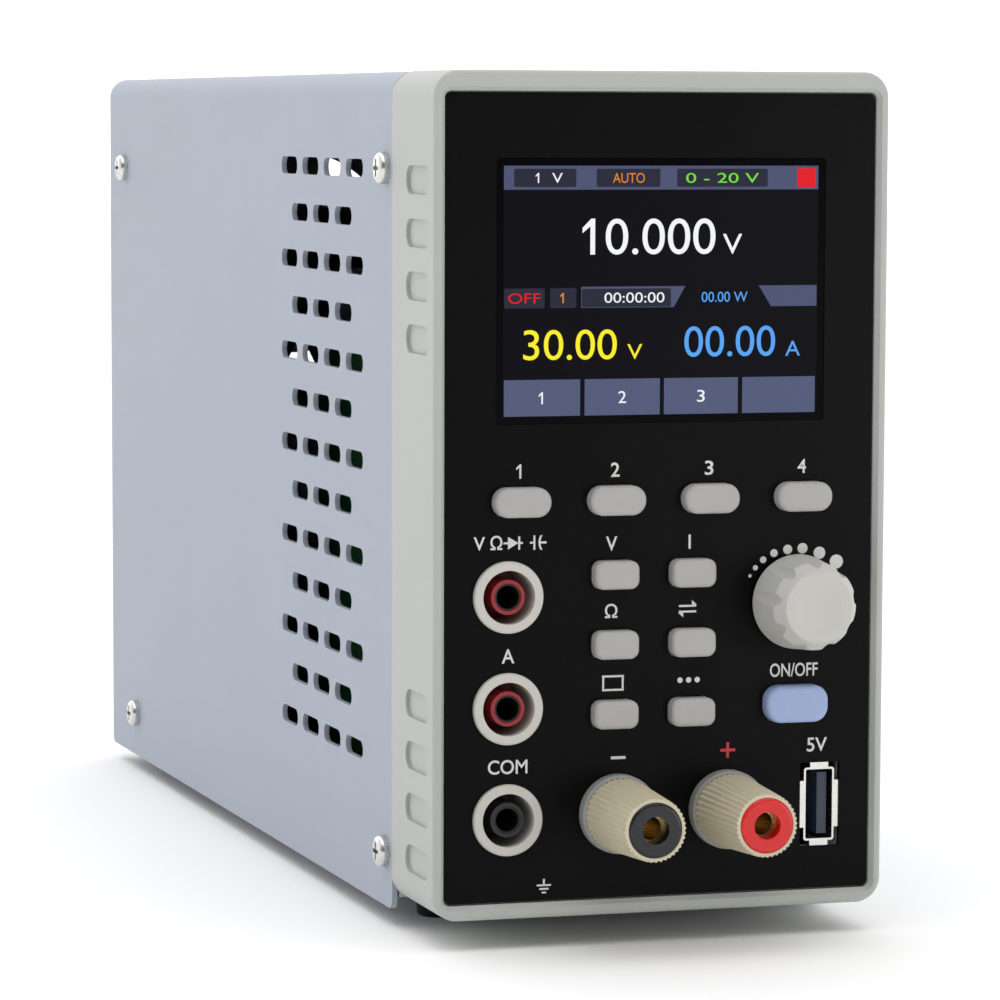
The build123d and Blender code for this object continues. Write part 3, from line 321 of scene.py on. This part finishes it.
print_shape("menu_number_1", [one(FIRST_MENU_X, MENU_MARKS_Z, LETTER)])
for index in range(1, 4):
    figure = str(index + 1)
    label("menu_number_" + figure, figure, FIRST_MENU_X + MENU_PITCH * index, MENU_MARKS_Z, 1.6)
label("volt_ohm_mark", "V Ω", -31.5, 71.3, 5.2)
label("amp_mark", "A", JACK_X, 51.5, 2.3)
label("common_mark", "COM", JACK_X, 32.1, 7.2)
label("volts_mark", "V", LEFT_KEYS_X, UPPER_MARKS_Z, 2.1)
label("current_mark", "I", 5.4, UPPER_MARKS_Z, 0.42)
label("ohm_mark", "Ω", LEFT_KEYS_X, 58.9, 2.3)
label("output_mark", "ON/OFF", 25.1, 47.5, 9.0, 2.4)
label("five_volt_mark", "5V", 29.6, 34.0, 3.8)


def diode_mark(x, z):
    triangle = [(x - 1.3, z - 1.1), (x + 0.6, z), (x - 1.3, z + 1.1)]
    bar = stroke(x + 0.75, z - 1.15, x + 0.75, z + 1.15, LINE)
    return [triangle, bar, stroke(x - 2.1, z, x - 1.2, z, LINE), stroke(x + 0.9, z, x + 1.4, z, LINE)]


def capacitor_mark(x, z):
    """Capacitor with one straight and one curved plate."""
    curve = []
    for side, reach in ((1, 0.95), (-1, 0.6)):
        for i in range(9):
            rise = side * (1.25 - 2.5 * i / 8)
            curve.append((x + reach - 0.35 * (1 - (rise / 1.25) ** 2) + 0.2, z + rise))
    return [stroke(x - 0.3, z - 1.25, x - 0.3, z + 1.25, LINE), curve,
            stroke(x - 1.1, z, x - 0.4, z, LINE), stroke(x + 0.8, z, x + 1.9, z, LINE)]


def ground_mark(x, z):
    lines = [stroke(x, z + 1.3, x, z + 0.3, LINE)]
    for index, half in enumerate((1.3, 0.85, 0.4)):
        height = z + 0.2 - 0.65 * index
        lines.append(stroke(x - half, height, x + half, height, THIN_LINE))
    return lines


print_shape("diode_mark", diode_mark(-26.6, 71.2))
print_shape("capacitor_mark", capacitor_mark(-22.8, 71.2))
print_shape("ground_mark", ground_mark(-21.1, 10.8))
print_shape("minus_mark", [stroke(-8.9, 33.0, -6.2, 33.0, WIDE_LINE)])
plus = [stroke(11.4, 33.6, 14.2, 33.6, WIDE_LINE), stroke(12.8, 32.2, 12.8, 33.35, WIDE_LINE),
        stroke(12.8, 33.85, 12.8, 35.0, WIDE_LINE)]
print_shape("plus_mark", plus, print_red)
arrows = [stroke(3.5, 59.4, 6.7, 59.4, LINE), [(5.9, 59.6), (6.8, 59.6), (5.9, 60.4)],
          stroke(3.5, 58.4, 6.7, 58.4, LINE), [(4.3, 58.2), (3.4, 58.2), (4.3, 57.4)]]
print_shape("arrows_mark", arrows)
frame_lines = [stroke(-10.6, 47.4, -6.6, 47.4, LINE), stroke(-10.6, 45.0, -6.6, 45.0, LINE),
               stroke(-10.4, 45.2, -10.4, 47.2, LINE), stroke(-6.8, 45.2, -6.8, 47.2, LINE)]
print_shape("display_mark", frame_lines)
print_shape("mode_mark", [circle(3.8, 46.3, 0.5), circle(5.4, 46.3, 0.5), circle(7.0, 46.3, 0.5)])
dots = ((16.69, 61.18, 0.6), (17.69, 62.59, 0.95), (19.13, 63.98, 1.2), (21.16, 65.10, 1.4),
        (23.71, 65.68, 1.7), (26.50, 65.83, 1.9), (29.69, 64.95, 2.2), (32.90, 63.33, 2.5))
print_shape("turn_dots", [circle(x, z + DOTS_LIFT, across / 2) for x, z, across in dots])


# Picture on the display, placed in steps of its own grid
GRID_X = (247, 1297)
GRID_Y = (358, 1187)
picture_y = at(PANE_DEPTH)


def picture_place(across, down):
    """Place in metres of a point on the display's grid."""
    x = ((across - GRID_X[0]) / (GRID_X[1] - GRID_X[0]) - 0.5) * SCREEN_WIDTH
    z = SCREEN_Z - ((down - GRID_Y[0]) / (GRID_Y[1] - GRID_Y[0]) - 0.5) * SCREEN_HEIGHT
    return x, z


def picture_outline(*points):
    return [picture_place(across, down) for across, down in points]


def picture_box(x0, y0, x1, y1, corner=0.0):
    left, high = picture_place(x0, y0)
    right, low = picture_place(x1, y1)
    if corner:
        return rounded(left, right, low, high, corner)
    return [(left, low), (right, low), (right, high), (left, high)]


def picture_piece(name, outlines, material, layer):
    return flat_piece(name, outlines, material, picture_y - PICTURE_LAYER * layer, PICTURE_SHEET)


def picture_one(name, across, down, height, material):
    x, z = picture_place(across, down)
    tall = height / (GRID_Y[1] - GRID_Y[0]) * SCREEN_HEIGHT
    return flat_piece(name, [one(x, z, tall)], material, picture_y - PICTURE_WORDS, PICTURE_SHEET)


def picture_words(name, text, x0, y0, x1, y1, material):
    left, high = picture_place(x0, y0)
    right, low = picture_place(x1, y1)
    return words(name, text, (left + right) / 2, (low + high) / 2, right - left, high - low, material,
                 picture_y - PICTURE_WORDS)


lit_black = lit("lit_black", linear(5, 5, 9))
lit_slate = lit("lit_slate", linear(78, 84, 114))
lit_menu = lit("lit_menu", linear(84, 92, 122))
lit_pill = lit("lit_pill", linear(42, 43, 58))
lit_white = lit("lit_white", linear(245, 246, 248))
lit_yellow = lit("lit_yellow", linear(252, 238, 44))
lit_blue = lit("lit_blue", linear(90, 165, 246))
lit_orange = lit("lit_orange", linear(226, 134, 44))
lit_green = lit("lit_green", linear(120, 222, 64))
lit_red = lit("lit_red", linear(226, 30, 36))

picture_piece("picture_ground", [picture_box(247, 358, 1297, 1187)], lit_black, 1)
slate = [picture_box(247, 358, 1297, 437),
         picture_outline((503, 758), (850, 758), (812, 828), (503, 828)),
         picture_outline((1098, 758), (1295, 758), (1295, 828), (1140, 828))]
picture_piece("picture_bars", slate, lit_slate, 2)
menu_ends = ((249, 501), (516, 767), (781, 1030), (1045, 1292))
menu = [picture_box(left, 1065, right, 1186) for left, right in menu_ends]
picture_piece("picture_menu", menu, lit_menu, 2)
corner = 0.0003
pills = [picture_box(280, 368, 485, 428, corner), picture_box(552, 368, 764, 428, corner),
         picture_box(820, 368, 1125, 428, corner), picture_box(249, 762, 382, 828, corner),
         picture_box(400, 762, 487, 828, corner), picture_box(505, 765, 802, 826, corner)]
picture_piece("picture_pills", pills, lit_pill, 3)
tab = picture_outline((824, 828), (866, 758), (1088, 755), (1130, 823))
picture_piece("picture_tab", [tab], lit_black, 3)
picture_piece("picture_flag", [picture_box(1226, 366, 1288, 430)], lit_red, 3)
picture_one("picture_mode_figure", 360, 398, 33, lit_white)
picture_words("picture_mode", "V", 405, 382, 440, 415, lit_white)
picture_words("picture_range", "AUTO", 606, 382, 712, 415, lit_orange)
picture_words("picture_scale", "0 - 20 V", 850, 382, 1095, 415, lit_green)
picture_one("picture_main_figure", 540, 592, 119, lit_white)
picture_words("picture_main", "0.000", 583, 533, 950, 652, lit_white)
picture_words("picture_main_unit", "V", 975, 585, 1040, 652, lit_white)
picture_words("picture_state", "OFF", 262, 778, 368, 812, lit_red)
picture_one("picture_channel", 443, 795, 34, lit_orange)
picture_words("picture_time", "00:00:00", 580, 778, 780, 812, lit_white)
picture_words("picture_power", "00.00 W", 905, 778, 1060, 812, lit_blue)
picture_words("picture_volts", "30.00", 312, 900, 622, 1000, lit_yellow)
picture_words("picture_volts_unit", "V", 657, 950, 707, 1000, lit_yellow)
picture_words("picture_amps", "00.00", 848, 893, 1155, 995, lit_blue)
picture_words("picture_amps_unit", "A", 1190, 945, 1240, 995, lit_blue)
picture_one("picture_menu_1", 375, 1126, 40, lit_white)
for index, middle in ((2, 641), (3, 905)):
    picture_words("picture_menu_%d" % index, str(index), middle - 13, 1106, middle + 13, 1146, lit_white)


# Room, light and camera

FLOOR_REACH = 6.0

# Light of the room where it lies ahead of the front, to the sides, and behind or above
FRONT_LIGHT = 0.2
SIDE_LIGHT = 0.8
ROOM_LIGHT = 1.6
AHEAD = (-0.7, 0.1)
BEHIND = (0.1, 0.6)
ABOVE = (0.5, 0.9)

# Name, place, target, width, height, power and colour of each lamp
LAMPS = (
    ("key", (0.55, -0.80, 0.10), (0, -0.12, 0.07), 0.35, 0.25, 1.3, (1, 1, 1)),
    ("overhead", (-0.1, -0.3, 1.1), (0, 0, 0.1), 1.0, 1.0, 2, (1, 1, 1)),
    ("left_fill", (-1.1, -0.1, 0.5), (0, 0, 0.08), 0.8, 0.8, 0.7, (0.9, 0.95, 1.0)),
)

# Camera at the angle of the photograph, with its angles in radians
LENS = 167.121
LENS_SHIFT = 0.112
YAW = 0.2962
PITCH = 0.10642
ROLL = 0.00331
EYE = (-0.262728, -0.764942 + FACE_Y, 0.144709)


def sky_axis(tree, axis):
    """One axis of the direction in which the room is seen, as a value for its light."""
    coordinates = tree.nodes.new("ShaderNodeTexCoord")
    axes = tree.nodes.new("ShaderNodeSeparateXYZ")
    tree.links.new(coordinates.outputs["Generated"], axes.inputs[0])
    return axes.outputs[axis]


def larger(tree, first, second):
    node = tree.nodes.new("ShaderNodeMath")
    node.operation = "MAXIMUM"
    tree.links.new(first, node.inputs[0])
    tree.links.new(second, node.inputs[1])
    return node.outputs[0]


def room_material():
    material, tree, shader = new_material("pale_floor")
    slow = noise(tree, 3, 2.0)
    pale = blend_colours(tree, slow, (0.95, 0.95, 0.95, 1), (0.98, 0.98, 0.98, 1))
    tree.links.new(pale, shader.inputs["Base Color"])
    shader.inputs["Roughness"].default_value = 0.9
    shader.inputs["Specular IOR Level"].default_value = 0.1
    return material


def floor():
    mesh = bpy.data.meshes.new("floor")
    corners = [(x * FLOOR_REACH, y * FLOOR_REACH, 0) for x, y in ((-1, -1), (1, -1), (1, 1), (-1, 1))]
    mesh.from_pydata(corners, [], [(0, 1, 2, 3)])
    plane = bpy.data.objects.new("floor", mesh)
    bpy.context.collection.objects.link(plane)
    mesh.materials.append(room_material())


def area_light(name, place, target, width, height, power, colour):
    data = bpy.data.lights.new(name, "AREA")
    data.shape = "RECTANGLE"
    data.size = width
    data.size_y = height
    data.energy = power
    data.color = colour
    lamp = bpy.data.objects.new(name, data)
    bpy.context.collection.objects.link(lamp)
    lamp.location = place
    lamp.rotation_euler = (Vector(target) - Vector(place)).to_track_quat("-Z", "Y").to_euler()


def sky():
    """White room, dimmer where the front of the object faces."""
    world = bpy.data.worlds.new("studio")
    bpy.context.scene.world = world
    world.use_nodes = True
    tree = world.node_tree
    background = tree.nodes["Background"]
    background.inputs["Color"].default_value = (1, 1, 1, 1)
    ahead = spread(tree, sky_axis(tree, "Y"), FRONT_LIGHT, SIDE_LIGHT, *AHEAD)
    behind = spread(tree, sky_axis(tree, "Y"), 0.0, ROOM_LIGHT, *BEHIND)
    above = spread(tree, sky_axis(tree, "Z"), 0.0, ROOM_LIGHT, *ABOVE)
    brighter = larger(tree, larger(tree, ahead, behind), above)
    tree.links.new(brighter, background.inputs["Strength"])


def camera():
    data = bpy.data.cameras.new("camera")
    data.sensor_width = 36.0
    data.lens = LENS
    data.shift_y = LENS_SHIFT
    data.clip_start = 0.05
    data.clip_end = 50
    ahead = Vector((math.sin(YAW) * math.cos(PITCH), math.cos(YAW) * math.cos(PITCH), -math.sin(PITCH)))
    level = Vector((math.cos(YAW), -math.sin(YAW), 0))
    above = level.cross(ahead)
    right = level * math.cos(ROLL) + above * math.sin(ROLL)
    up = above * math.cos(ROLL) - level * math.sin(ROLL)
    turn = Matrix((right, up, -ahead)).transposed().to_4x4()
    eye = bpy.data.objects.new("camera", data)
    bpy.context.collection.objects.link(eye)
    eye.matrix_world = Matrix.Translation(EYE) @ turn
    bpy.context.scene.camera = eye


floor()
sky()
camera()
for lamp in LAMPS:
    area_light(*lamp)
bpy.context.scene.view_settings.view_transform = "Standard"
